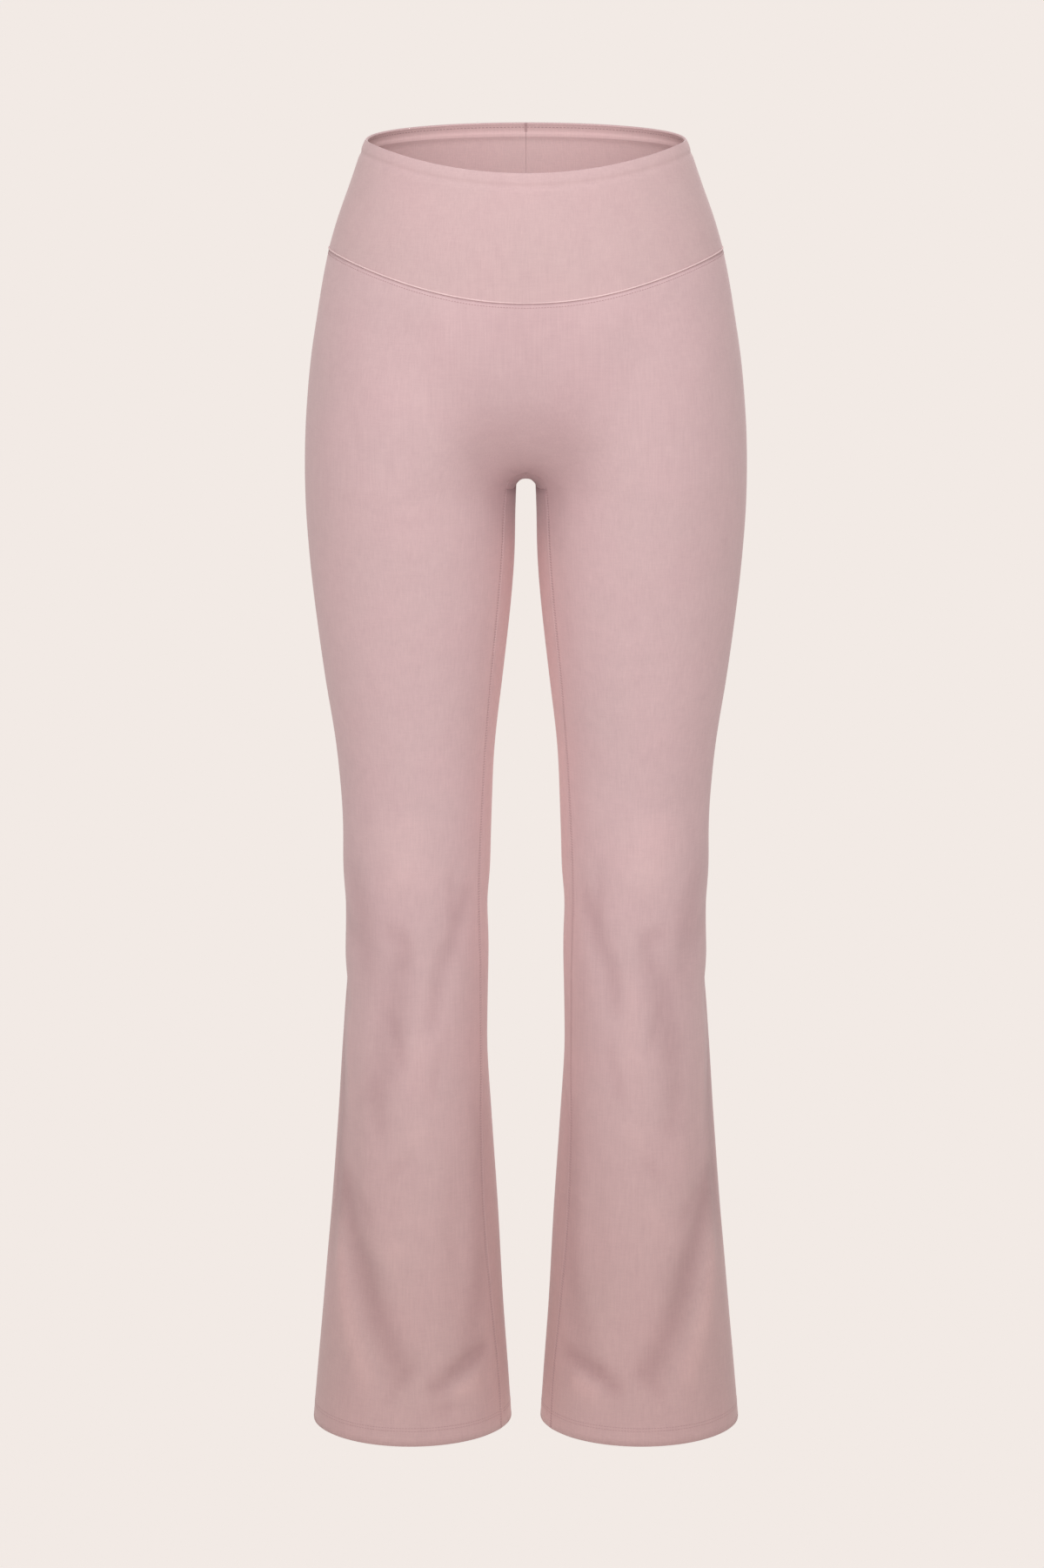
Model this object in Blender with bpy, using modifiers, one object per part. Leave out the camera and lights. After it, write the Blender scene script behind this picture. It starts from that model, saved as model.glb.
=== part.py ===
"""Flared stretch trousers, worn open and hollow, in metres with +Z up.

The front faces -Y and the origin is the middle of the waist, where the wearer holds the garment up.
Heights are given as a drop in millimetres below the waist. A place round one leg is a turn in degrees:
0 is the outer side, 90 the front, 180 the inner side and 270 the back.
"""

from bisect import bisect_right
from collections import namedtuple
from math import asin, atan2, cos, degrees, exp, pi, radians, sin, sqrt

import bmesh
import bpy
from mathutils import Vector

MM = 0.001

# ---- Cut of the cloth, in millimetres --------------------------------------------------------------
HEM_DROP = 1082.0
HEM_TURN_UP = 14.0
CROTCH_DROP = 279.0
LEG_CLOTH = 1.2
HEM_CLOTH = 2.2
WAISTBAND_CLOTH = 2.1
ELASTIC_CLOTH = 2.9
ELASTIC_HEIGHT = 12.0
SEAM_GAP = 0.3
SAME_POINT = 0.02
MITRE_LIMIT = 0.5

# The top edge dips at the front and rises at the back; the yoke seam dips at both.
FRONT_EDGE_DIP = 22.0
BACK_EDGE_RISE = 9.0
YOKE_SIDE_DROP = 88.0
YOKE_FRONT_DIP = 36.5
YOKE_BACK_DIP = 14.0
DIP_POWER = 2.3
RISE_POWER = 0.8

# One row for each height: how far the leg's outer and inner edge lie from the middle, how far the
# front and back stand from the side line, and the turn of the inseam. Above the crotch the inner
# edges of the two legs lie across the middle, and the legs blend into one round form.
Section = namedtuple("Section", "drop outer inner front back inseam")
SECTIONS = (
    Section(-12, 128.0, -128.0, 96.6, 92.0, 155),
    Section(0, 131.4, -131.4, 98.8, 94.0, 155),
    Section(10, 134.9, -133.6, 100.9, 95.4, 155),
    Section(30, 141.6, -136.4, 104.8, 98.5, 155),
    Section(60, 152.6, -138.8, 108.8, 104.5, 155),
    Section(94, 162.5, -125.0, 111.3, 112.0, 155),
    Section(140, 170.9, -92.5, 112.7, 121.0, 155),
    Section(180, 177.1, -59.5, 112.7, 127.0, 155),
    Section(220, 180.9, -26.5, 110.7, 128.0, 155),
    Section(250, 182.4, -5.0, 107.7, 123.5, 155),
    Section(279, 182.6, 8.0, 104.2, 115.5, 155),
    Section(300, 182.0, 8.6, 101.2, 109.0, 153),
    Section(340, 179.2, 9.4, 96.2, 98.5, 151),
    Section(380, 175.0, 12.4, 91.2, 89.0, 150),
    Section(440, 167.1, 19.1, 83.7, 77.0, 150),
    Section(500, 157.8, 26.0, 76.7, 67.0, 152),
    Section(560, 152.8, 28.7, 71.2, 60.5, 150),
    Section(600, 152.8, 29.9, 68.2, 58.5, 149),
    Section(640, 150.9, 31.4, 66.7, 59.5, 151),
    Section(680, 151.5, 31.4, 66.2, 62.0, 153),
    Section(720, 152.6, 32.2, 66.2, 66.0, 155),
    Section(760, 155.4, 32.4, 67.6, 70.0, 156),
    Section(820, 159.0, 28.8, 71.2, 75.0, 151),
    Section(900, 165.1, 23.6, 75.7, 80.0, 148),
    Section(980, 172.1, 19.4, 80.7, 84.0, 152),
    Section(1040, 177.7, 15.2, 85.2, 87.5, 155),
    Section(1082, 181.4, 12.4, 88.7, 90.0, 154),
)
SECTION_DROPS = [row.drop for row in SECTIONS]

# The rise curves up from the crotch point: narrow at first, and full within a hand's breadth.
# Its outlines are found by halving a distance, a set number of times.
RISE_START = 60.0
RISE_SPREAD = 55.0
BLEND_FLOOR = 0.004
HALVINGS = 40

# The side seam lies just behind the silhouette and swings to the front below the knee.
SIDE_SEAM_TURN = -4.0
SIDE_SEAM_SWING = 20.0
SIDE_SEAM_SWING_DROP = 830.0
SIDE_SEAM_SWING_REACH = 105.0

# The gusset's front and back points lie on the centre line, and its side corners on the inseams.
GUSSET_FRONT_DROP = 270.5
GUSSET_BACK_DROP = 258.0
GUSSET_SIDE_DROP = 282.0
GUSSET_SIDE_BACK = -40.0
GUSSET_FRONT_BOW = -1.2
GUSSET_BACK_BOW = 12.0

# Soft folds, one row each: which leg, where the fold starts and ends, its width and its depth.
# A negative depth is a ridge.
Fold = namedtuple("Fold", "leg drop turn end_drop end_turn width depth")
FOLDS = (
    # front, below the knee
    Fold("both", 648, 116, 742, 96, 13, 1.9),
    Fold("right", 655, 88, 760, 62, 14, 2.0),
    Fold("left", 628, 92, 715, 70, 14, 1.7),
    Fold("both", 600, 124, 652, 112, 12, 1.2),
    Fold("both", 775, 30, 905, 44, 13, 2.4),
    Fold("both", 905, 44, 1010, 64, 14, 2.2),
    Fold("both", 1005, 64, 1062, 86, 13, 1.8),
    Fold("both", 820, 20, 880, 26, 9, -1.2),
    Fold("right", 850, 126, 985, 120, 12, 1.7),
    Fold("left", 845, 118, 1000, 124, 13, 1.5),
    Fold("both", 1020, 142, 1062, 100, 11, 1.7),
    Fold("left", 930, 52, 1015, 40, 11, -1.2),
    # outer and inner side at the knee
    Fold("both", 628, 8, 662, 40, 11, 1.3),
    Fold("both", 690, -6, 722, 24, 12, 1.2),
    Fold("both", 618, 190, 650, 160, 11, 1.1),
    # back of the knee
    Fold("both", 575, 292, 606, 240, 12, 2.2),
    Fold("right", 612, 300, 640, 232, 13, 2.6),
    Fold("left", 618, 304, 634, 238, 13, 2.4),
    Fold("both", 655, 296, 690, 252, 12, 1.9),
    Fold("both", 545, 250, 560, 216, 12, 1.2),
    # back of the flare
    Fold("right", 770, 300, 930, 286, 14, 2.2),
    Fold("left", 790, 296, 940, 280, 14, 2.0),
    Fold("both", 800, 236, 1000, 226, 14, 1.9),
    Fold("both", 960, 288, 1062, 264, 13, 1.7),
    # below the seat
    Fold("both", 322, 290, 345, 236, 13, 1.6),
    Fold("both", 352, 262, 372, 214, 12, 1.1),
)

# Rows and columns of each piece's net. Columns next to a seam are narrow.
PANEL_COLUMNS = 13
SEAM_COLUMN = 0.015
FRONT_RISE_ROWS = 10
BACK_RISE_ROWS = 9
GUSSET_FRONT_ROWS = 3
GUSSET_BACK_ROWS = 6
GUSSET_COLUMNS = 5
LEG_ROWS = 32
PLAIN_ROWS = 3
SEAM_ROW = 3.0
FRONT_SIDE_DROP = 262.0
CROTCH_SIDE_DROP = 276.0
YOKE_FADE = 5
LEG_FADE = 6
RISE_FADE = 1

CLOTH_COLOURS = {
    "waistband_front": (0.65, 0.44, 0.45),
    "waistband_back_left": (0.62, 0.42, 0.43),
    "waistband_back_right": (0.62, 0.42, 0.43),
    "front_panel": (0.63, 0.42, 0.43),
    "back_panel_left": (0.60, 0.40, 0.41),
    "back_panel_right": (0.60, 0.40, 0.41),
    "gusset": (0.55, 0.35, 0.36),
}
CLOTH_ROUGHNESS = 0.85


# ---- The worn form -----------------------------------------------------------------------------------
def mix(start, end, share):
    return start + (end - start) * share


def section_at(drop):
    """The sizes at one height, on smooth curves through the rows of the table."""
    row = min(max(bisect_right(SECTION_DROPS, drop) - 1, 0), len(SECTIONS) - 2)
    before = SECTIONS[max(row - 1, 0)]
    start, end = SECTIONS[row], SECTIONS[row + 1]
    after = SECTIONS[min(row + 2, len(SECTIONS) - 1)]
    length = end.drop - start.drop
    t = (drop - start.drop) / length
    sizes = [drop]
    for column in Section._fields[1:]:
        low, high = getattr(start, column), getattr(end, column)
        slope_in = (high - getattr(before, column)) / (end.drop - before.drop) * length
        slope_out = (getattr(after, column) - low) / (after.drop - start.drop) * length
        sizes.append(
            (2 * t**3 - 3 * t**2 + 1) * low
            + (t**3 - 2 * t**2 + t) * slope_in
            + (3 * t**2 - 2 * t**3) * high
            + (t**3 - t**2) * slope_out
        )
    return Section(*sizes)


class Ring:
    """The level outline at one height: two leg ovals, blended across the middle."""

    def __init__(self, drop):
        size = section_at(drop)
        self.centre = (size.outer + size.inner) / 2
        self.half_width = (size.outer - size.inner) / 2
        self.side_line = (size.back - size.front) / 2
        self.depth = (size.back + size.front) / 2
        self.spread = self.centre / self.half_width
        climb = CROTCH_DROP - drop
        if climb > 0:
            self.rise = 1 - exp(-climb / RISE_START - (climb / RISE_SPREAD) ** 2)
            excess = sqrt(self.rise + self.spread**2) - 1
            self.blend = 2 * (excess + sqrt(excess**2 + BLEND_FLOOR**2))
        else:
            self.rise = 0.0
            self.blend = max(4 * (self.spread - 1) + 2 * climb / self.half_width, 0.0)

    def outside(self, x, y):
        """Negative inside the outline, zero on it and positive outside."""
        deep = (y - self.side_line) / self.depth
        near = sqrt(((x - self.centre) / self.half_width) ** 2 + deep**2) - 1
        far = sqrt(((x + self.centre) / self.half_width) ** 2 + deep**2) - 1
        overlap = max(self.blend - abs(near - far), 0.0)
        return min(near, far) - (overlap**2 / (4 * self.blend) if overlap else 0.0)

    def point(self, turn):
        """The point of the outline that lies at a turn round the leg."""
        across, forward = cos(radians(turn)), sin(radians(turn))

        def at(reach):
            x = self.centre + reach * self.half_width * across
            return x, self.side_line - reach * self.depth * forward

        low, high = 0.5, 2.0
        if across < 0:
            # no further than the centre line
            high = min(high, self.spread / -across)
        for _ in range(HALVINGS):
            middle = (low + high) / 2
            if self.outside(*at(middle)) < 0:
                low = middle
            else:
                high = middle
        return at(low)

    def turn_of(self, x, y):
        turn = degrees(atan2((self.side_line - y) / self.depth, (x - self.centre) / self.half_width))
        return turn % 360

    def middle_reach(self):
        """How far the centre line stands from the side line, as a share of the leg's depth."""
        return sqrt(max((1 + self.blend / 4) ** 2 - self.spread**2, 0.0))

    def middle_turn(self, forward):
        """The turn of the centre line, at the front (forward 1) or at the back (forward -1)."""
        return degrees(atan2(forward * self.middle_reach(), -self.spread)) % 360

    def middle_back(self, forward):
        """How far behind the origin the centre line lies, at the front or at the back."""
        return self.side_line - forward * self.middle_reach() * self.depth

    def inner_x(self, y):
        """How far from the middle the inner leg lies, at one distance behind the origin."""
        low, high = 0.0, self.centre
        for _ in range(HALVINGS):
            middle = (low + high) / 2
            if self.outside(middle, y) > 0:
                low = middle
            else:
                high = middle
        return high


def fold_depth(leg, turn, drop, radius):
    """How far the soft folds sink the cloth at one place."""
    depth = 0.0
    for fold in FOLDS:
        if fold.leg not in (leg, "both"):
            continue
        around = ((turn - fold.turn + 180) % 360 - 180) * pi / 180 * radius
        down = drop - fold.drop
        path_around = radians(fold.end_turn - fold.turn) * radius
        path_down = fold.end_drop - fold.drop
        path_length = sqrt(path_around**2 + path_down**2)
        along = (around * path_around + down * path_down) / path_length
        aside = (around * path_down - down * path_around) / path_length
        past_middle = abs(along / path_length - 0.5) * 2
        depth += fold.depth * exp(-((aside / fold.width) ** 2)) * exp(-(past_middle**4))
    return depth


def cloth_point(side, turn, drop):
    """A point of the outer face, in metres. side is 1 for the wearer's left leg and -1 for the right."""
    ring = Ring(drop)
    x, y = ring.point(turn)
    outward = Vector(
        ((x - ring.centre) / ring.half_width**2, (y - ring.side_line) / ring.depth**2, 0.0)
    ).normalized()
    leg = "left" if side > 0 else "right"
    sink = fold_depth(leg, turn, drop, ring.half_width)
    return Vector((side * (x - sink * outward.x), y - sink * outward.y, -drop)) * MM


# ---- Edges of the cut pieces -------------------------------------------------------------------------
def side_seam(drop):
    swing = exp(-(((drop - SIDE_SEAM_SWING_DROP) / SIDE_SEAM_SWING_REACH) ** 2))
    return SIDE_SEAM_TURN + SIDE_SEAM_SWING * swing


def facing(share):
    """How squarely the cloth faces front or back, at a share of the way from the middle to the side."""
    return max(cos(share * pi / 2), 0.0)


def top_edge_drop(forward, share):
    if forward > 0:
        return FRONT_EDGE_DIP * facing(share) ** DIP_POWER
    return -BACK_EDGE_RISE * facing(share) ** RISE_POWER


def yoke_drop(forward, share):
    dip = YOKE_FRONT_DIP if forward > 0 else YOKE_BACK_DIP
    return YOKE_SIDE_DROP + dip * facing(share) ** DIP_POWER


def gusset_edge(forward, bow, share):
    """From the front or back point to the side corner, as a distance behind the origin and a drop."""
    point_drop = GUSSET_FRONT_DROP if forward > 0 else GUSSET_BACK_DROP
    back = mix(Ring(point_drop).middle_back(forward), GUSSET_SIDE_BACK, share)
    drop = mix(point_drop, GUSSET_SIDE_DROP, share) + 4 * bow * share * (1 - share)
    return back, drop


def gusset_front_edge(share):
    return gusset_edge(1, GUSSET_FRONT_BOW, share)


def gusset_back_edge(share):
    return gusset_edge(-1, GUSSET_BACK_BOW, share)


def inner_turn(back, drop):
    """The turn of a place on the inner leg."""
    ring = Ring(drop)
    return ring.turn_of(ring.inner_x(back), back)


def shares(count):
    return [step / count for step in range(count + 1)]


def seam_shares(count):
    """Even shares from 0 to 1, with one narrow step at each end."""
    inner = [mix(SEAM_COLUMN, 1 - SEAM_COLUMN, share) for share in shares(count - 2)]
    return [0.0] + inner + [1.0]


def rise_drops(top, bottom, count):
    """Drops down the centre line, closer together where it curves under."""
    start, end = sqrt(CROTCH_DROP - top), sqrt(CROTCH_DROP - bottom)
    return [CROTCH_DROP - mix(start, end, share) ** 2 for share in shares(count)]


def leg_edges(full_turn):
    """The inseam and the side seam, from the gusset's side corner to the hem."""
    inseam, side = [], []
    for share in shares(LEG_ROWS):
        drop = mix(GUSSET_SIDE_DROP, HEM_DROP, share)
        turn = inner_turn(GUSSET_SIDE_BACK, drop) if share == 0 else section_at(drop).inseam
        side_drop = mix(CROTCH_SIDE_DROP, HEM_DROP, share)
        inseam.append((turn, drop))
        side.append((full_turn + side_seam(side_drop), side_drop))
    return inseam, side


def rise_edges(forward, top_drop, bottom_drop, bottom_side_drop, count):
    """The centre line and the side seam, from the yoke down."""
    full_turn = 0 if forward > 0 else 360
    centre, side = [], []
    for drop in rise_drops(top_drop, bottom_drop, count):
        share = (drop - top_drop) / (bottom_drop - top_drop)
        side_drop = mix(YOKE_SIDE_DROP, bottom_side_drop, share)
        centre.append((Ring(drop).middle_turn(forward), drop))
        side.append((full_turn + side_seam(side_drop), side_drop))
    return centre, side


def front_panel_edges():
    """Inner and outer edge of half the front: centre line, gusset and inseam; side seam."""
    top_drop = YOKE_SIDE_DROP + YOKE_FRONT_DIP
    inner, outer = rise_edges(1, top_drop, GUSSET_FRONT_DROP, FRONT_SIDE_DROP, FRONT_RISE_ROWS)
    for share in shares(GUSSET_FRONT_ROWS)[1:-1]:
        back, drop = gusset_front_edge(share)
        side_drop = mix(FRONT_SIDE_DROP, CROTCH_SIDE_DROP, share)
        inner.append((inner_turn(back, drop), drop))
        outer.append((side_seam(side_drop), side_drop))
    inseam, side = leg_edges(0)
    return inner + inseam, outer + side


# ---- Pieces ------------------------------------------------------------------------------------------
def lay_grid(sheet, side, forward, rows, columns, place):
    """A flat grid of cloth, with each of its points laid on the form at place(row, column).

    forward is 1 on the front and below, and -1 on the back, so that every grid faces outwards.
    """
    grid = bmesh.ops.create_grid(sheet, x_segments=columns, y_segments=rows, size=1.0)["verts"]
    for vert in grid:
        column = round((vert.co.x + 1) / 2 * columns)
        row = round((1 - vert.co.y) / 2 * rows)
        vert.co = place(row, column)
    if side * forward < 0:
        faces = {face for vert in grid for face in vert.link_faces}
        bmesh.ops.reverse_faces(sheet, faces=list(faces))


def along_turns(start, end, share):
    return mix(start[0], end[0], share), mix(start[1], end[1], share)


def lay_panel(sheet, side, forward, inner, outer, across, top, fade):
    """A stretch of cloth between an inner and an outer edge, whose first row follows a shaped top.

    The edges are lists of (turn, drop), and across holds each column's share of the way.
    """
    rows = len(inner) - 1

    def place(row, column):
        share = across[column]
        turn, drop = along_turns(inner[row], outer[row], share)
        near_top = (1 - row / rows) ** fade
        drop += (top[column] - along_turns(inner[0], outer[0], share)[1]) * near_top
        return cloth_point(side, turn, drop)

    lay_grid(sheet, side, forward, rows, len(across) - 1, place)


def lay_waistband(sheet, side, forward):
    """Half of the waistband's front (forward 1), or one of its backs (forward -1)."""
    side_turn = SIDE_SEAM_TURN if forward > 0 else 360 + SIDE_SEAM_TURN
    across = seam_shares(PANEL_COLUMNS)

    def levels(share):
        top, bottom = top_edge_drop(forward, share), yoke_drop(forward, share)
        plain = [mix(top + ELASTIC_HEIGHT, bottom - SEAM_ROW, part) for part in shares(PLAIN_ROWS)]
        return [top, top + SEAM_ROW, *plain, bottom]

    def place(row, column):
        centre_turn = Ring(levels(0)[row]).middle_turn(forward)
        turn = mix(centre_turn, side_turn, across[column])
        return cloth_point(side, turn, levels(across[column])[row])

    lay_grid(sheet, side, forward, len(levels(0)) - 1, PANEL_COLUMNS, place)


def centre_drop(back):
    """The drop of the centre line under the crotch, at one distance behind the origin."""
    low, high = YOKE_SIDE_DROP, CROTCH_DROP
    for _ in range(HALVINGS):
        middle = (low + high) / 2
        ring = Ring(middle)
        if abs(back - ring.side_line) < ring.middle_reach() * ring.depth:
            low = middle
        else:
            high = middle
    return low


def lay_gusset(sheet, side):
    """Half of the gusset, from the centre line out to its edge."""
    rows = GUSSET_FRONT_ROWS + GUSSET_BACK_ROWS
    edge = [gusset_front_edge(share) for share in shares(GUSSET_FRONT_ROWS)]
    edge += [gusset_back_edge(1 - share) for share in shares(GUSSET_BACK_ROWS)[1:]]

    def place(row, column):
        edge_back, edge_drop = edge[row]
        share = column / GUSSET_COLUMNS
        back = mix(mix(edge[0][0], edge[-1][0], row / rows), edge_back, share)
        drop = centre_drop(back) + (edge_drop - centre_drop(edge_back)) * share**2
        if column == 0 or row in (0, rows):
            return Vector((0.0, back, -drop)) * MM
        return cloth_point(side, inner_turn(back, drop), drop)

    lay_grid(sheet, side, 1, rows, GUSSET_COLUMNS, place)


def trim_edges(sheet, margin):
    """Cuts a piece back along its edges, so that sewn pieces stay clear of each other."""
    moves = {}
    for vert in sheet.verts:
        inwards = []
        for edge in vert.link_edges:
            if not edge.is_boundary:
                continue
            along = (edge.verts[1].co - edge.verts[0].co).normalized()
            inward = edge.link_faces[0].calc_center_median() - edge.verts[0].co
            inwards.append((inward - along * inward.dot(along)).normalized())
        if inwards:
            first, second = inwards
            moves[vert] = (first + second) / max(1 + first.dot(second), MITRE_LIMIT) * margin
    for vert, move in moves.items():
        vert.co += move


def make_piece(name, sheet, cloth, doubled_cloth=None, is_doubled=None):
    """Turns a sheet into a wall of cloth, thicker where it is doubled."""
    bmesh.ops.remove_doubles(sheet, verts=sheet.verts, dist=SAME_POINT * MM)
    trim_edges(sheet, SEAM_GAP / 2 * MM)
    mesh = bpy.data.meshes.new(name)
    sheet.to_mesh(mesh)
    sheet.free()
    mesh.shade_smooth()
    piece = bpy.data.objects.new(name, mesh)
    garment.objects.link(piece)
    wall = piece.modifiers.new("cloth thickness", "SOLIDIFY")
    wall.offset = -1
    wall.thickness = cloth * MM
    if doubled_cloth:
        doubled = piece.vertex_groups.new(name="doubled")
        doubled.add([v.index for v in mesh.vertices if is_doubled(v.co)], 1.0, "REPLACE")
        wall.vertex_group = doubled.name
        wall.thickness = doubled_cloth * MM
        wall.thickness_vertex_group = cloth / doubled_cloth
    material = bpy.data.materials.new(name + " cloth")
    material.use_nodes = True
    shader = material.node_tree.nodes["Principled BSDF"]
    shader.inputs["Base Color"].default_value = (*CLOTH_COLOURS[name], 1.0)
    shader.inputs["Roughness"].default_value = CLOTH_ROUGHNESS
    shader.inputs["Metallic"].default_value = 0.0
    mesh.materials.append(material)


def in_hem(point):
    return point.z < -(HEM_DROP - HEM_TURN_UP) * MM


def make_front_panel():
    """One piece over both legs, with no seam down the middle."""
    sheet = bmesh.new()
    inner, outer = front_panel_edges()
    across = seam_shares(PANEL_COLUMNS)
    yoke = [yoke_drop(1, share) for share in across]
    for side in (1, -1):
        lay_panel(sheet, side, 1, inner, outer, across, yoke, YOKE_FADE)
    make_piece("front_panel", sheet, LEG_CLOTH, HEM_CLOTH, in_hem)


def make_back_panels():
    """Two pieces, sewn together down the centre back, each a seat and a leg.

    The leg is wider than the seat by the fork, which follows the gusset to the inseam.
    """
    top_drop = YOKE_SIDE_DROP + YOKE_BACK_DIP
    centre, seat_side = rise_edges(-1, top_drop, GUSSET_BACK_DROP, CROTCH_SIDE_DROP, BACK_RISE_ROWS)
    inseam, leg_side = leg_edges(360)
    seat_across = seam_shares(PANEL_COLUMNS)
    fork = [gusset_back_edge(1 - share) for share in shares(GUSSET_BACK_ROWS)[:-1]]
    leg_top = [(inner_turn(back, drop), drop) for back, drop in fork]
    leg_top += [along_turns(centre[-1], seat_side[-1], share) for share in seat_across]
    leg_across = [(turn - inseam[0][0]) / (leg_side[0][0] - inseam[0][0]) for turn, _ in leg_top]
    leg_top_drops = [drop for _, drop in leg_top]
    yoke = [yoke_drop(-1, share) for share in seat_across]
    for side, wearers_side in ((1, "left"), (-1, "right")):
        sheet = bmesh.new()
        lay_panel(sheet, side, -1, centre, seat_side, seat_across, yoke, RISE_FADE)
        lay_panel(sheet, side, -1, inseam, leg_side, leg_across, leg_top_drops, LEG_FADE)
        make_piece("back_panel_" + wearers_side, sheet, LEG_CLOTH, HEM_CLOTH, in_hem)


def in_elastic(point):
    """Whether a point of the waistband lies on the elastic below its top edge."""
    ring = Ring(-point.z / MM)
    share = asin(min(abs(point.x) / MM / (ring.centre + ring.half_width), 1.0)) / (pi / 2)
    return -point.z / MM < top_edge_drop(-point.y, share) + ELASTIC_HEIGHT - SEAM_ROW


def make_waistband():
    """Two layers of cloth: one front and two backs, sewn at the sides and the centre back."""
    front = bmesh.new()
    for side in (1, -1):
        lay_waistband(front, side, 1)
    make_piece("waistband_front", front, WAISTBAND_CLOTH, ELASTIC_CLOTH, in_elastic)
    for side, wearers_side in ((1, "left"), (-1, "right")):
        back = bmesh.new()
        lay_waistband(back, side, -1)
        make_piece("waistband_back_" + wearers_side, back, WAISTBAND_CLOTH, ELASTIC_CLOTH, in_elastic)


def make_gusset():
    sheet = bmesh.new()
    for side in (1, -1):
        lay_gusset(sheet, side)
    make_piece("gusset", sheet, LEG_CLOTH)


for old_object in list(bpy.data.objects):
    bpy.data.objects.remove(old_object, do_unlink=True)
garment = bpy.data.collections.new("flared_trousers")
bpy.context.scene.collection.children.link(garment)

make_waistband()
make_front_panel()
make_back_panels()
make_gusset()
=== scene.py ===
"""Flared stretch trousers in dusty pink brushed jersey, worn open and hollow, with nobody in them.

Metres, +Z up, the front faces -Y. Sizes of the cloth and its sewing are given in millimetres.
"""

from collections import namedtuple
from math import atan2, degrees, exp, hypot, pi, radians

import bmesh
import bpy
from mathutils import Matrix, Vector
from mathutils.bvhtree import BVHTree
from mathutils.kdtree import KDTree


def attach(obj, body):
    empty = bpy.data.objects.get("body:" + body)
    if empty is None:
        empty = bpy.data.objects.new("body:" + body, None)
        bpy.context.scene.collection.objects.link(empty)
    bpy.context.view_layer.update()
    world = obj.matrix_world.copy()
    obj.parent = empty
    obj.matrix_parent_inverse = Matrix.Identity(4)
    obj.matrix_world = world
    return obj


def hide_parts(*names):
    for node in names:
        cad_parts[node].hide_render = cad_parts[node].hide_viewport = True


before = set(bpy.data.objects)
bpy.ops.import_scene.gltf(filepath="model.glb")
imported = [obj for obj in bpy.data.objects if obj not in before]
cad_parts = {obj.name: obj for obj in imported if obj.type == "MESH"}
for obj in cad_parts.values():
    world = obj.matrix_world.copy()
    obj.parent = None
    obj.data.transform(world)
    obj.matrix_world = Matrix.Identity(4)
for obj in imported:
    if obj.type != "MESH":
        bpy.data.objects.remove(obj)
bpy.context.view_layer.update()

# ---- Camera, pale floor and soft light ----------------------------------------------------------------
# A long lens a little above the waist looks down the legs, over a pale floor that runs out of the
# frame on every side. The light is an even pale room with soft lamps in front, over the waist and
# behind. Places are in metres.
PALE = (0.888, 0.823, 0.784)
CAMERA_PLACE = (0.0, -4.0, 0.2)
CAMERA_TILT = 10.404
LENS = 111.9
IMAGE_HEIGHT = 1802
MIDDLE_OFFSET = 4.5
FLOOR_DROP = 2.0
FLOOR_SIZE = 400.0
ROOM_LIGHT = 0.50

camera = bpy.data.objects.new("camera", bpy.data.cameras.new("camera"))
camera.data.lens = LENS
camera.data.sensor_width = 36.0
camera.data.shift_x = -MIDDLE_OFFSET / IMAGE_HEIGHT
camera.data.clip_end = FLOOR_SIZE
camera.location = CAMERA_PLACE
camera.rotation_euler = (radians(90 - CAMERA_TILT), 0.0, 0.0)
bpy.context.scene.collection.objects.link(camera)
bpy.context.scene.camera = camera
bpy.context.scene.view_settings.view_transform = "Standard"

world = bpy.data.worlds.new("pale room")
world.use_nodes = True
room = world.node_tree
room.nodes["Background"].inputs["Color"].default_value = (*PALE, 1.0)
seen = room.nodes.new("ShaderNodeLightPath").outputs["Is Camera Ray"]
dimmer = room.nodes.new("ShaderNodeMapRange")
dimmer.inputs["To Min"].default_value = ROOM_LIGHT
room.links.new(seen, dimmer.inputs["Value"])
room.links.new(dimmer.outputs["Result"], room.nodes["Background"].inputs["Strength"])
bpy.context.scene.world = world

floor_shape = bmesh.new()
bmesh.ops.create_grid(floor_shape, x_segments=1, y_segments=1, size=FLOOR_SIZE / 2)
bmesh.ops.translate(floor_shape, verts=floor_shape.verts, vec=(0.0, 0.0, -FLOOR_DROP))
floor_mesh = bpy.data.meshes.new("floor")
floor_shape.to_mesh(floor_mesh)
floor_shape.free()
floor_paint = bpy.data.materials.new("pale floor")
floor_paint.use_nodes = True
paint = floor_paint.node_tree.nodes["Principled BSDF"]
paint.inputs["Base Color"].default_value = (1.0, 1.0, 1.0, 1.0)
paint.inputs["Roughness"].default_value = 1.0
paint.inputs["Specular IOR Level"].default_value = 0.0
paint.inputs["Emission Color"].default_value = (*PALE, 1.0)
paint.inputs["Emission Strength"].default_value = 1 - ROOM_LIGHT
floor_mesh.materials.append(floor_paint)
floor = bpy.data.objects.new("floor", floor_mesh)
bpy.context.scene.collection.objects.link(floor)

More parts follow.
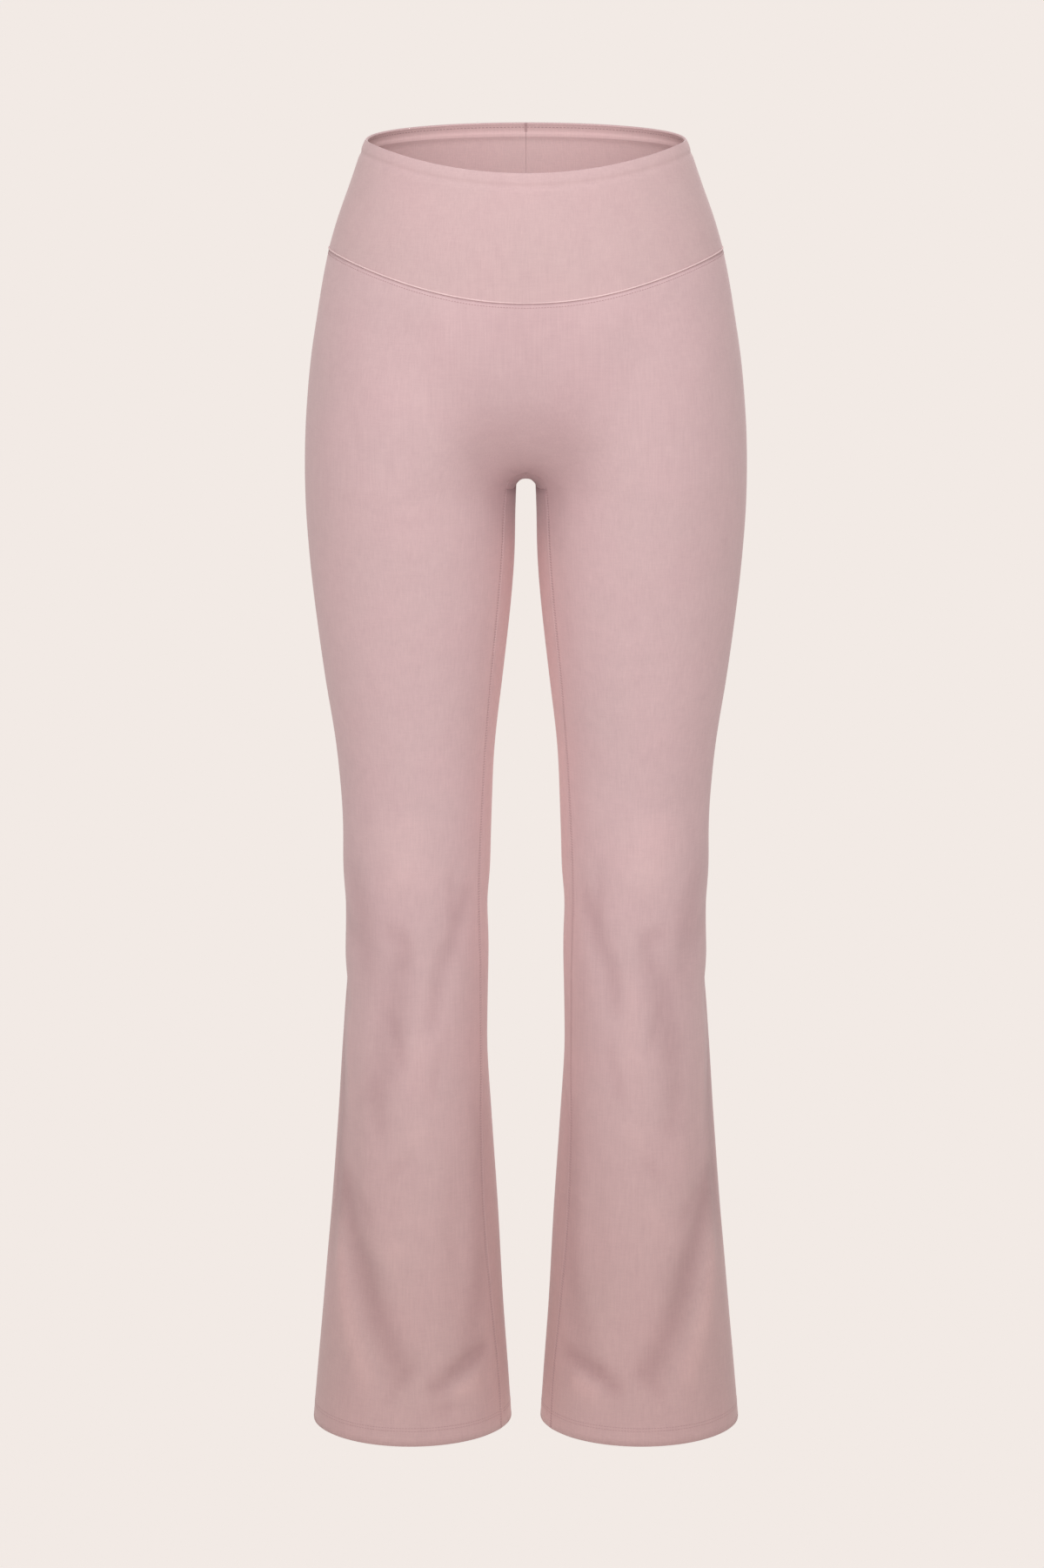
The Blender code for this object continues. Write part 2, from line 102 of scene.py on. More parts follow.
# The lamps light only the garment, so that the floor stays as even as the room.
garment_only = bpy.data.collections.new("garment")
Lamp = namedtuple("Lamp", "name place aim size watts")
LAMPS = (
    Lamp("front lamp", (-0.15, -2.8, 0.9), (0.0, 0.0, -0.30), 1.6, 35.0),
    Lamp("waist lamp", (0.0, -0.7, 1.2), (0.0, 0.09, -0.05), 0.6, 8.0),
    Lamp("back lamp", (0.3, 2.8, 0.9), (0.0, 0.0, -0.40), 1.6, 40.0),
)
for lamp in LAMPS:
    light = bpy.data.lights.new(lamp.name, "AREA")
    light.size = lamp.size
    light.energy = lamp.watts
    holder = bpy.data.objects.new(lamp.name, light)
    holder.location = lamp.place
    holder.rotation_euler = (Vector(lamp.aim) - Vector(lamp.place)).to_track_quat("-Z", "Y").to_euler()
    holder.visible_camera = False
    holder.light_linking.receiver_collection = garment_only
    bpy.context.scene.collection.objects.link(holder)


# ---- Front: one piece of jersey over both legs --------------------------------------------------------
# Brushed stretch jersey with no centre seam, from the yoke to both hems, where it is turned up. The
# knit's fine ribs run down the legs. Like every piece of cloth here, it is taken from its solid's
# outer side, smoothed and given its thickness; the pieces below the waistband are also creased as
# listed.
MM = 0.001

# How a solid's triangles are told apart into an outer side, an inner side and a rim, and paired
# back into a grid of four-sided faces: a distance in millimetres, angles in degrees and a weight.
# Then how often the grid is settled and divided to smooth it.
SAME_POINT = 0.02
RIM_ANGLE = 50.0
FLAT_PAIR = 60.0
SQUARE_PAIR = 90.0
GRID_PAIR = 1.2
SETTLING_ROUNDS = 4
SMOOTH_LEVELS = 2

# The gap that the seams close, a touch wider than the one between the solids so that pieces meet,
# and the least that a corner counts for there. Then the cloth's thickness, and the share of it that
# its edges are rounded by.
SEAM_GAP = 0.34
MITRE_LIMIT = 0.5
LEG_CLOTH = 1.2
HEM_CLOTH = 2.2
EDGE_ROUNDING = 0.2

# Where the hems, the middles of the legs and the crotch lie, in drops below the waist and distances
# from the garment's middle, how the gusset's seams draw up the cloth round them, and how much
# painted shadow darkens it there.
HEM_TURN_UP = 14.0
HEM_DROP = 1082.0
LEG_CENTRE = 93.0
CROTCH_DROP = 280.0
CROTCH_LIFT = 0.8
CROTCH_SHADE = 2.4
CROTCH_REACH = 17.0

# Where painted light brightens the inner legs: a turn and a reach in degrees, then drops.
PAINTED_LIGHT_TURN = 168.0
PAINTED_LIGHT_REACH = 26.0
PAINTED_LIGHT_START = (292, 345)
PAINTED_LIGHT_FADE = (480, 900)
PAINTED_LIGHT_LOSS = 0.5

# One row for each soft crease: which leg, where it starts and ends, its width and depth, and how
# far its middle bows out of line, in millimetres. Places are a drop below the waist and a turn in
# degrees round the leg: 0 is the outer side, 90 the front, 180 the inner side and 270 the back.
# A negative depth is a ridge.
Crease = namedtuple("Crease", "leg drop turn end_drop end_turn width depth bow")
CREASES = (
    # small crisp ones beside the knee and above the hem
    Crease("both", 596, 118, 640, 121, 5, 0.7, 0),
    Crease("right", 718, 72, 764, 84, 5, 0.8, 0),
    Crease("left", 712, 74, 752, 83, 5, 0.8, 0),
    Crease("both", 742, 112, 792, 101, 6, 0.7, 0),
    Crease("both", 834, 88, 858, 72, 5, 0.7, 0),
    Crease("both", 868, 46, 900, 62, 5, 0.8, 0),
    Crease("both", 1012, 90, 1044, 74, 6, 0.9, 0),
    Crease("right", 1046, 122, 1056, 96, 5, 0.8, 0),
    # the bend of the knee, seen from the front
    Crease("both", 548, 76, 614, 86, 24, -1.2, 0),
    Crease("both", 612, 133, 686, 109, 9, 1.7, 2),
    Crease("right", 686, 109, 733, 101, 8, 1.5, 0),
    Crease("left", 680, 111, 723, 104, 8, 1.3, 0),
    Crease("both", 649, 68, 653, 88, 8, 1.1, 0),
    Crease("both", 653, 87, 685, 80, 8, 1.1, 0),
    Crease("right", 668, 80, 790, 61, 15, 1.5, 4),
    Crease("left", 676, 78, 781, 62, 13, 1.7, -3),
    Crease("both", 775, 60, 823, 68, 10, 1.1, 0),
    Crease("both", 589, 34, 696, 54, 15, 1.2, 3),
    Crease("both", 707, 27, 819, 36, 9, -0.7, -4),
    Crease("both", 810, 100, 823, 84, 9, -0.7, 0),
    Crease("both", 685, 97, 773, 92, 11, -0.7, 2),
    # the flare: one long fold from the side seam down to the hem, and a short one from the inseam
    Crease("both", 854, 26, 918, 49, 13, 2.2, 0),
    Crease("both", 914, 48, 979, 67, 14, 2.4, 2),
    Crease("both", 973, 66, 1027, 85, 13, 1.9, 0),
    Crease("both", 905, 28, 983, 44, 10, -1.4, 0),
    Crease("both", 973, 43, 1034, 62, 11, -1.4, 0),
    Crease("right", 1005, 143, 1022, 114, 8, 2.6, 0),
    Crease("left", 1009, 144, 1023, 112, 8, 2.3, 0),
    Crease("both", 1019, 118, 1037, 98, 8, 1.9, 0),
    Crease("both", 1033, 134, 1041, 112, 9, -1.8, 0),
    Crease("both", 792, 152, 922, 143, 14, 1.1, 0),
    Crease("both", 917, 143, 1014, 122, 13, 1.3, 3),
    Crease("right", 908, 80, 927, 70, 9, -0.8, 0),
    Crease("left", 879, 84, 901, 74, 9, -0.7, 0),
    # the groin
    Crease("both", 120, 84, 258, 128, 24, 0.7, 4),
    Crease("both", 105, 130, 265, 134, 40, 1.0, 0),
    # the side seam at the top of the flare
    Crease("both", 730, 8, 925, 20, 13, 2.4, 0),
    # the side and the back of the knee
    Crease("both", 628, 6, 664, 40, 9, 0.9, 0),
    Crease("both", 690, -8, 724, 24, 9, 0.9, 0),
    Crease("both", 575, 292, 606, 240, 9, 1.4, 2),
    Crease("right", 612, 300, 640, 232, 9, 1.6, -2),
    Crease("left", 618, 304, 634, 238, 9, 1.5, 2),
    Crease("both", 655, 296, 690, 252, 9, 1.2, 0),
    Crease("left", 700, 262, 730, 222, 9, 0.8, 0),
    Crease("right", 545, 262, 562, 220, 8, 0.8, 0),
    # the back of the flare and below the seat
    Crease("right", 770, 300, 930, 286, 12, 1.7, 4),
    Crease("left", 790, 296, 940, 280, 12, 1.5, -4),
    Crease("both", 800, 236, 1000, 226, 12, 1.4, 3),
    Crease("both", 960, 288, 1056, 264, 10, 1.7, 0),
    Crease("both", 1000, 240, 1060, 252, 10, -1.0, 0),
    Crease("both", 322, 290, 345, 236, 10, 1.2, 2),
    Crease("both", 352, 262, 372, 214, 9, 0.9, 0),
)


class Value:
    """A socket that takes part in sums, so that shader maths reads as plain expressions."""

    def __init__(self, finish, socket):
        self.finish = finish
        self.socket = socket

    def _sum(self, operation, first, second):
        return self.finish.node("ShaderNodeMath", {"operation": operation}, {0: first, 1: second})

    def __add__(self, other):
        return self._sum("ADD", self, other)

    def __radd__(self, other):
        return self._sum("ADD", other, self)

    def __sub__(self, other):
        return self._sum("SUBTRACT", self, other)

    def __rsub__(self, other):
        return self._sum("SUBTRACT", other, self)

    def __mul__(self, other):
        return self._sum("MULTIPLY", self, other)


class Finish:
    """A material whose nodes are added one by one to a Principled shader."""

    def __init__(self, name):
        self.material = bpy.data.materials.new(name)
        self.material.use_nodes = True
        self.tree = self.material.node_tree
        self.shader = self.tree.nodes["Principled BSDF"]

    def node(self, kind, settings=None, sockets=None, output=0):
        """Adds a node with its settings and sockets filled in, and gives one of its outputs."""
        node = self.tree.nodes.new(kind)
        for name, value in (settings or {}).items():
            setattr(node, name, value)
        self._fill(node, sockets or {})
        return Value(self, node.outputs[output])

    def _fill(self, node, sockets):
        for name, value in sockets.items():
            if isinstance(value, Value):
                self.tree.links.new(value.socket, node.inputs[name])
            else:
                node.inputs[name].default_value = value

    def shade(self, sockets):
        """Fills in sockets of the shader itself."""
        self._fill(self.shader, sockets)

    def noise(self, place, size, detail):
        """Noise from 0 to 1 with grains of one size in millimetres."""
        sockets = {"Vector": place, "Scale": 1 / (size * MM), "Detail": detail}
        return self.node("ShaderNodeTexNoise", {}, sockets)

    def stretched(self, place, around, down):
        """A place measured so that grains come out longer one way than the other."""
        sockets = {0: place, 1: (around, around, down)}
        return self.node("ShaderNodeVectorMath", {"operation": "MULTIPLY"}, sockets)

    def blend(self, share, low, high):
        """A colour between two others."""
        settings = {"data_type": "RGBA"}
        return self.node("ShaderNodeMix", settings, {"Factor": share, 6: low, 7: high}, output=2)

    def tinted(self, share, colour, tint):
        """A colour multiplied by a tint, as far as the share goes."""
        settings = {"data_type": "RGBA", "blend_type": "MULTIPLY"}
        return self.node("ShaderNodeMix", settings, {"Factor": share, 6: colour, 7: tint}, output=2)

    def marked(self, name):
        """A value that the piece's own points carry."""
        return self.node("ShaderNodeAttribute", {"attribute_name": name}, output=2)

    def rise(self, value, start, end):
        """0 up to one value, then softly up to 1 at another."""
        sockets = {"Value": value, 1: start, 2: end}
        return self.node("ShaderNodeMapRange", {"interpolation_type": "SMOOTHSTEP"}, sockets)


# Grain sizes of the dye and the knit in millimetres, how strongly each shows in the dye, and how
# high each stands, as a share of the bump's depth.
PATCH_SIZE = 90
MOTTLE_SIZE = 14
CAST_SIZE = 55
RIB_PITCH = 1.1
RIB_STRETCH = 0.035
COURSE_PITCH = 1.0
COURSE_STRETCH = 0.12
NAP_SIZE = 0.5
PATCH_DYE = 0.4
MOTTLE_DYE = 0.6
RIB_DYE = 0.9
COURSE_DYE = 0.6
NAP_DYE = 0.9
RIB_HEIGHT = 0.55
COURSE_HEIGHT = 0.35
NAP_HEIGHT = 0.25
WELT_HEIGHT = 0.9
BUMP_DEPTH = 0.5
BUMP_STRENGTH = 0.35

# Tints that the dye is multiplied by, where they show, and how far from a seam its marks reach. The
# grey cast is random; the rest is painted light: painted shade towards the hems, in crease troughs,
# between the legs and by the yoke seam, painted highlight on crease ridges and painted light on the
# inner legs.
GREY_CAST = (0.955, 1.0, 0.985, 1.0)
HEM_PAINTED_SHADE = (0.93, 0.885, 0.85, 1.0)
HEM_PAINTED_SHADE_HEIGHTS = (-1.05, -0.55)
CAST_SPREAD = 1.3
CAST_START = 0.35
TROUGH_PAINTED_SHADE = (0.84, 0.80, 0.81, 1.0)
RIDGE_PAINTED_HIGHLIGHT = (1.10, 1.09, 1.08, 1.0)
INNER_LEG_PAINTED_LIGHT = (1.28, 1.23, 1.19, 1.0)
SEAM_PAINTED_SHADE = (0.88, 0.82, 0.84, 1.0)
TROUGH_SHADE = 0.44
RIDGE_LIGHT = 0.65
SEAM_ZONE = 8.0
SEAM_SHADE = (1.7, 0.4)
WELT_EDGE = (4.8, 4.0)


def jersey(name, colour, shade_colour):
    """Brushed stretch jersey: fine ribs down, finer courses across, a soft nap and an uneven dye, with
    painted shade and painted light from the marks on its pieces.
    """
    finish = Finish(name)
    place = finish.node("ShaderNodeTexCoord", output=3)
    height_up = finish.node("ShaderNodeSeparateXYZ", {}, {0: place}, output=2)
    patches = finish.noise(place, PATCH_SIZE, 2) - 0.5
    mottle = finish.noise(place, MOTTLE_SIZE, 3) - 0.5
    ribs = finish.noise(finish.stretched(place, 1.0, RIB_STRETCH), RIB_PITCH, 1) - 0.5
    courses = finish.noise(finish.stretched(place, COURSE_STRETCH, 1.0), COURSE_PITCH, 1) - 0.5
    nap = finish.noise(place, NAP_SIZE, 2)
    dye = 0.5 + patches * PATCH_DYE + mottle * MOTTLE_DYE + ribs * RIB_DYE + courses * COURSE_DYE
    base = finish.blend(dye + (nap - 0.5) * NAP_DYE, shade_colour, colour)
    cast = finish.noise(place, CAST_SIZE, 3) * CAST_SPREAD - CAST_START
    base = finish.tinted(cast, base, GREY_CAST)
    # Painted shade: the jersey darkens towards the hems, where less lamp light falls.
    base = finish.tinted(1 - finish.rise(height_up, *HEM_PAINTED_SHADE_HEIGHTS), base, HEM_PAINTED_SHADE)
    # Painted shading: painted shade in crease troughs and painted shadow between the legs, painted
    # highlight on crease ridges.
    painted_shading = finish.marked("painted_shading")
    base = finish.tinted(painted_shading * TROUGH_SHADE, base, TROUGH_PAINTED_SHADE)
    base = finish.tinted(painted_shading * -RIDGE_LIGHT, base, RIDGE_PAINTED_HIGHLIGHT)
    # Painted light on the inner legs, where the other leg shades them.
    base = finish.tinted(finish.marked("painted_inner_light"), base, INNER_LEG_PAINTED_LIGHT)
    near_seam = finish.marked("near_seam")
    # Painted shade: the cloth darkens right by the yoke seam, as in its groove.
    painted_seam_shade = finish.rise(near_seam, *[SEAM_ZONE - reach for reach in SEAM_SHADE])
    base = finish.tinted(painted_seam_shade, base, SEAM_PAINTED_SHADE)
    welt = finish.rise(near_seam, *[SEAM_ZONE - reach for reach in WELT_EDGE])
    height = ribs * RIB_HEIGHT + courses * COURSE_HEIGHT + nap * NAP_HEIGHT + welt * WELT_HEIGHT
    relief = {"Strength": BUMP_STRENGTH, "Distance": BUMP_DEPTH * MM, "Height": height}
    bump = finish.node("ShaderNodeBump", {}, relief)
    finish.shade({"Base Color": base, "Roughness": 0.86, "Normal": bump})
    finish.shade({"Specular IOR Level": 0.25, "Sheen Weight": 0.25, "Sheen Roughness": 0.45})
    finish.shade({"Sheen Tint": (1.0, 0.93, 0.93, 1.0)})
    return finish.material


def outer_sheet(node, arched=False):
    """The outer side of a solid piece of cloth, as an open net of four-sided faces.

    It is the larger of the two sides, or the smaller where the cloth arches over the gap below it.
    """
    sheet = bmesh.new()
    sheet.from_mesh(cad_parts[node].data)
    bmesh.ops.remove_doubles(sheet, verts=sheet.verts, dist=SAME_POINT * MM)
    sides = []
    unseen = set(sheet.faces)
    while unseen:
        side, ahead = [], [unseen.pop()]
        while ahead:
            face = ahead.pop()
            side.append(face)
            for edge in face.edges:
                if edge.calc_face_angle() < radians(RIM_ANGLE):
                    found = unseen.intersection(edge.link_faces)
                    unseen -= found
                    ahead += found
        sides.append(side)
    sides.sort(key=lambda side: sum(face.calc_area() for face in side))
    inner_side, outer_side = reversed(sides[-2:]) if arched else sides[-2:]
    inner_points = {vert for face in inner_side for vert in face.verts}
    outer = {face for face in outer_side if inner_points.isdisjoint(face.verts)}
    rest = [face for face in sheet.faces if face not in outer]
    bmesh.ops.delete(sheet, geom=rest, context="FACES")
    bmesh.ops.join_triangles(
        sheet,
        faces=sheet.faces,
        angle_face_threshold=radians(FLAT_PAIR),
        angle_shape_threshold=radians(SQUARE_PAIR),
        topology_influence=GRID_PAIR,
    )
    return sheet


def rise_to(vert, goal):
    """The move out of the net that brings the smoothed cloth back to where the point was."""
    if vert.is_boundary:
        if len(vert.link_faces) == 1:
            return Vector()
        ends = [edge.other_vert(vert).co for edge in vert.link_edges if edge.is_boundary]
        move = goal - (ends[0] + ends[1] + vert.co * 4) / 6
        along = (ends[0] - ends[1]).normalized()
        return move - along * move.dot(along)
    count = len(vert.link_edges)
    near = sum((edge.other_vert(vert).co for edge in vert.link_edges), Vector())
    far = sum((loop.link_loop_next.link_loop_next.vert.co for loop in vert.link_loops), Vector())
    smoothed = (vert.co * count**2 + near * 4 + far) / (count * (count + 5))
    return vert.normal * (goal - smoothed).dot(vert.normal)


def smooth_cloth(sheet, levels):
    """Smooths a net into cloth that still passes through the net's points."""
    sheet.normal_update()
    goals = [(vert, vert.co.copy()) for vert in sheet.verts]
    for _ in range(SETTLING_ROUNDS):
        moves = [rise_to(vert, goal) for vert, goal in goals]
        for (vert, _), move in zip(goals, moves):
            vert.co += move
    mesh = bpy.data.meshes.new("net")
    sheet.to_mesh(mesh)
    sheet.free()
    net = bpy.data.objects.new("net", mesh)
    smoothing = net.modifiers.new("smoothing", "SUBSURF")
    smoothing.levels = smoothing.render_levels = levels
    smoothing.boundary_smooth = "PRESERVE_CORNERS"
    bpy.context.scene.collection.objects.link(net)
    smooth = bpy.data.meshes.new_from_object(net.evaluated_get(bpy.context.evaluated_depsgraph_get()))
    bpy.data.objects.remove(net)
    cloth = bmesh.new()
    cloth.from_mesh(smooth)
    return cloth


def round_leg(point):
    """Where a point lies round its leg: a turn in degrees, a radius and a drop."""
    across, forward = abs(point.x) / MM - LEG_CENTRE, -point.y / MM
    return degrees(atan2(forward, across)), hypot(across, forward), -point.z / MM


def ramp(value, start, end):
    """0 up to one value, then softly up to 1 at another."""
    share = min(max((value - start) / (end - start), 0.0), 1.0)
    return share * share * (3 - 2 * share)


def painted_inner_light_share(point):
    """How much painted light brightens the inner legs, from the thighs down past the knees."""
    turn, _, drop = round_leg(point)
    aside = ((turn - PAINTED_LIGHT_TURN + 180) % 360 - 180) / PAINTED_LIGHT_REACH
    return exp(-(aside**2)) * ramp(drop, *PAINTED_LIGHT_START) * (1 - PAINTED_LIGHT_LOSS * ramp(drop, *PAINTED_LIGHT_FADE))


def crotch_lift(point):
    """How far the cloth between the legs is drawn up by the gusset's seams."""
    aside, below = point.x / MM / CROTCH_REACH, (-point.z / MM - CROTCH_DROP) / CROTCH_REACH
    return CROTCH_LIFT * exp(-(aside**2) - below**2)


def crease_depth(point, creases):
    """How far the creases sink one point of the cloth."""
    leg = "left" if point.x > 0 else "right"
    turn, radius, drop = round_leg(point)
    depth = 0.0
    for crease in creases:
        if crease.leg not in (leg, "both"):
            continue
        around = ((turn - crease.turn + 180) % 360 - 180) * pi / 180 * radius
        down = drop - crease.drop
        path_around = radians(crease.end_turn - crease.turn) * radius
        path_down = crease.end_drop - crease.drop
        path_length = hypot(path_around, path_down)
        along = (around * path_around + down * path_down) / path_length
        past_middle = abs(along / path_length - 0.5) * 2
        if past_middle > 2:
            continue
        aside = (around * path_down - down * path_around) / path_length
        aside -= crease.bow * (1 - past_middle**2)
        depth += crease.depth * exp(-((aside / crease.width) ** 2)) * exp(-(past_middle**4))
    return depth


def crease_cloth(cloth, creases):
    """Sinks the creases into the cloth and marks its points with their depth, for painted shade in the
    troughs, painted highlight on the ridges and painted shadow between the legs.
    """
    painted_shading = cloth.verts.layers.float.new("painted_shading")
    painted_inner_light = cloth.verts.layers.float.new("painted_inner_light")
    cloth.normal_update()
    sinks = [crease_depth(vert.co, creases) for vert in cloth.verts]
    normals = [vert.normal.copy() for vert in cloth.verts]
    for vert, sink, normal in zip(cloth.verts, sinks, normals):
        lift = crotch_lift(vert.co)
        vert.co -= normal * sink * MM
        vert.co.z += lift * MM
        # Painted shading: the crease depth sets painted shade and highlight, plus painted shadow where
        # the gusset draws the cloth up.
        vert[painted_shading] = sink + lift * CROTCH_SHADE
        vert[painted_inner_light] = painted_inner_light_share(vert.co)


def close_seams(cloth):
    """Lets out a piece's edges by half a seam gap, so that sewn pieces meet."""
    moves = {}
    for vert in cloth.verts:
        outwards = []
        for edge in vert.link_edges:
            if edge.is_boundary:
                along = (edge.verts[1].co - edge.verts[0].co).normalized()
                outward = edge.verts[0].co - edge.link_faces[0].calc_center_median()
                outwards.append((outward - along * outward.dot(along)).normalized())
        if outwards:
            first, second = outwards
            reach = SEAM_GAP / 2 / max(1 + first.dot(second), MITRE_LIMIT)
            moves[vert] = (first + second) * reach * MM
    for vert, move in moves.items():
        vert.co += move


def place_object(name, mesh, material):
    """Puts a finished piece in the scene, in the garment's light and on the part's only body."""
    piece = bpy.data.objects.new(name, mesh)
    mesh.shade_smooth()
    mesh.materials.append(material)
    bpy.context.scene.collection.objects.link(piece)
    garment_only.objects.link(piece)
    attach(piece, "root")
    return piece


def thicken(piece, cloth, doubled_cloth=None, is_doubled=None):
    """Gives a sheet the cloth's thickness, more where it is doubled, and soft edges."""
    wall = piece.modifiers.new("cloth thickness", "SOLIDIFY")
    wall.offset = -1
    wall.thickness = (doubled_cloth or cloth) * MM
    wall.bevel_convex = 1.0
    if doubled_cloth:
        doubled = piece.vertex_groups.new(name="doubled")
        places = [v.index for v in piece.data.vertices if is_doubled(v.co)]
        doubled.add(places, 1.0, "REPLACE")
        wall.vertex_group = doubled.name
        wall.thickness_vertex_group = cloth / doubled_cloth
    rounding = piece.modifiers.new("soft edges", "BEVEL")
    rounding.limit_method = "WEIGHT"
    rounding.width = cloth * EDGE_ROUNDING * MM
    rounding.segments = 2


leg_jersey = jersey("leg jersey", (0.665, 0.472, 0.490, 1.0), (0.575, 0.402, 0.424, 1.0))
cloths = {}
pieces = {}


def in_hem(point):
    """Whether a point lies in the turned-up part of a hem."""
    return point.z < -(HEM_DROP - HEM_TURN_UP) * MM


def make_leg_piece(name, node, arched=False):
    """One piece of a leg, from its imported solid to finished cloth."""
    cloth = smooth_cloth(outer_sheet(node, arched), SMOOTH_LEVELS)
    crease_cloth(cloth, CREASES)
    close_seams(cloth)
    cloth.normal_update()
    cloths[node] = cloth
    mesh = bpy.data.meshes.new(name)
    cloth.to_mesh(mesh)
    piece = place_object(name, mesh, leg_jersey)
    thicken(piece, LEG_CLOTH, HEM_CLOTH, in_hem)
    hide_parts(node)
    pieces[node] = piece
    return piece


front = make_leg_piece("front", "front_panel")

# ---- Backs --------------------------------------------------------------------------------------------
# Two pieces of the same jersey, each a seat and a leg in one. They are sewn together down the
# centre back and to the front at the side seams and the inseams, and turned up at the hem.
for side in ("left", "right"):
    back = make_leg_piece("back_" + side, "back_panel_" + side)

# ---- Gusset -------------------------------------------------------------------------------------------
# A small pointed piece of the same jersey under the crotch, set in between the front, the two backs
# and the tops of the inseams.
gusset = make_leg_piece("gusset_piece", "gusset", arched=True)

# ---- Waistband ----------------------------------------------------------------------------------------
# A yoke of the same jersey folded double over a soft elastic at the top edge: one shaped front and
# two backs. The fold rolls in over the elastic, whose channel shows as a faint line below it. The
# inner layer is the same jersey painted paler, as painted light inside the waist.
WAISTBAND_CLOTH = 2.1
BAND_LEVELS = 3
ROLL_HEIGHT = 7.0
ROLL_DEPTH = 0.9
CHANNEL_DROP = 11.0
CHANNEL_WIDTH = 2.2
CHANNEL_DEPTH = 0.8
TOP_EDGE_REACH = 40.0

# Painted light: the inner layer is painted paler than the outer one.
band_inside_painted_light = jersey("waistband inside", (0.865, 0.610, 0.610, 1.0), (0.775, 0.540, 0.550, 1.0))
band_jersey = jersey("waistband jersey", (0.635, 0.450, 0.460, 1.0), (0.550, 0.385, 0.400, 1.0))


def is_top(edge):
    """Whether an edge of a band is part of its top: a free edge, near the waist, that lies level."""
    first, second = (vert.co for vert in edge.verts)
    level = abs(first.z - second.z) < (first - second).length / 2
    return edge.is_boundary and level and first.z > -TOP_EDGE_REACH * MM


def roll_top_edge(cloth):
    """Rolls the fold in over the elastic and presses the elastic's channel below it."""
    cloth.normal_update()
    top = {vert for edge in cloth.edges if is_top(edge) for vert in edge.verts}
    top_edge = KDTree(len(top))
    for index, vert in enumerate(top):
        top_edge.insert(vert.co, index)
    top_edge.balance()
    for vert in cloth.verts:
        below = top_edge.find(vert.co)[2] / MM
        roll = ROLL_DEPTH * max(1 - below / ROLL_HEIGHT, 0.0) ** 2
        channel = CHANNEL_DEPTH * exp(-(((below - CHANNEL_DROP) / CHANNEL_WIDTH) ** 2))
        level = Vector((vert.normal.x, vert.normal.y, 0.0)).normalized()
        vert.co -= level * (roll + channel) * MM


Cut = namedtuple("Cut", "node width height area")
BAND_CUTS = (
    Cut("waistband_front", 0.400, 0.115, 0.0369),
    Cut("waistband_back_left", 0.205, 0.105, 0.0177),
    Cut("waistband_back_right", 0.205, 0.105, 0.0177),
)
for cut in BAND_CUTS:
    cloth = smooth_cloth(outer_sheet(cut.node), BAND_LEVELS)
    close_seams(cloth)
    roll_top_edge(cloth)
    cloth.normal_update()
    cloths[cut.node] = cloth
    mesh = bpy.data.meshes.new(cut.node + "_cloth")
    cloth.to_mesh(mesh)
    band = place_object(cut.node + "_cloth", mesh, band_jersey)
    mesh.materials.append(band_inside_painted_light)
    thicken(band, WAISTBAND_CLOTH)
    band.modifiers["cloth thickness"].material_offset = 1
    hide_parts(cut.node)


# ---- Sewing -------------------------------------------------------------------------------------------
# A cord-like roll of jersey along the yoke seam, painted paler as a painted highlight on its ridge, and
# stitches of pink thread, painted darker than the cloth as painted shade of their needle holes: a row
# below the roll, slanted overlock stitches down the inseams and the seat, and two rows round each hem.
# They are laid one by one along the real edge of the cloth.
THREAD_WIDTH = 0.42
THREAD_HEIGHT = 0.34
THREAD_SIDES = 6
THREAD_RINGS = 4
TWIST_SIZE = 0.35
TWIST_DEPTH = 0.1
TWIST_STRENGTH = 0.4
GROOVE_SHADE = 0.82
Stitch = namedtuple("Stitch", "length width height pitch turn")
DASH = Stitch(1.6, 0.6, THREAD_HEIGHT, 2.3, 0)
RUNG = Stitch(2.9, THREAD_WIDTH, THREAD_HEIGHT, 2.2, 60)
NEEDLE = Stitch(1.5, THREAD_WIDTH, THREAD_HEIGHT, 2.2, 0)
HEM_STITCH = Stitch(1.9, THREAD_WIDTH, THREAD_HEIGHT, 2.6, 0)
GUSSET_STITCH = Stitch(1.9, 0.4, 0.25, 2.1, 0)
WAIST_STITCH = Stitch(2.3, 0.5, THREAD_HEIGHT, 3.1, 0)
TACK = Stitch(3.0, 0.5, THREAD_HEIGHT, 1.1, 90)

# How far in from the edge each row lies, how far out on the cloth the overlock and the yoke's roll
# lie, and how near to its neighbour or to the hem an edge counts as theirs.
SEAM_REACH = 0.8
YOKE_ROW = 3.9
INSEAM_ROW = 1.5
HEM_ROWS = (12.8, 15.2)
HEM_INSIDE_ROW = 14.0
HEM_REACH = 3.0
GUSSET_ROW = 0.2
WAIST_ROW = 3.6
TACKS_ABOVE = 1.0
RUNG_LIFT = 0.05
YOKE_ROLL_RADIUS = 0.62
YOKE_ROLL_LIFT = 0.15
YOKE_ROLL_STEP = 3.0


def edge_verts(node, keep):
    """The points on a piece's edge that pass a test."""
    return [vert for vert in cloths[node].verts if vert.is_boundary and keep(vert.co)]


def edge_line(chosen):
    """One stretch of a piece's edge, as its points in order."""
    inside = set(chosen)

    def ahead(vert):
        ends = [edge.other_vert(vert) for edge in vert.link_edges if edge.is_boundary]
        return [end for end in ends if end in inside]

    line = [min((vert for vert in chosen if len(ahead(vert)) == 1), key=lambda vert: tuple(vert.co))]
    while True:
        following = [vert for vert in ahead(line[-1]) if vert not in line[-2:]]
        if not following:
            return line
        line.append(following[0])


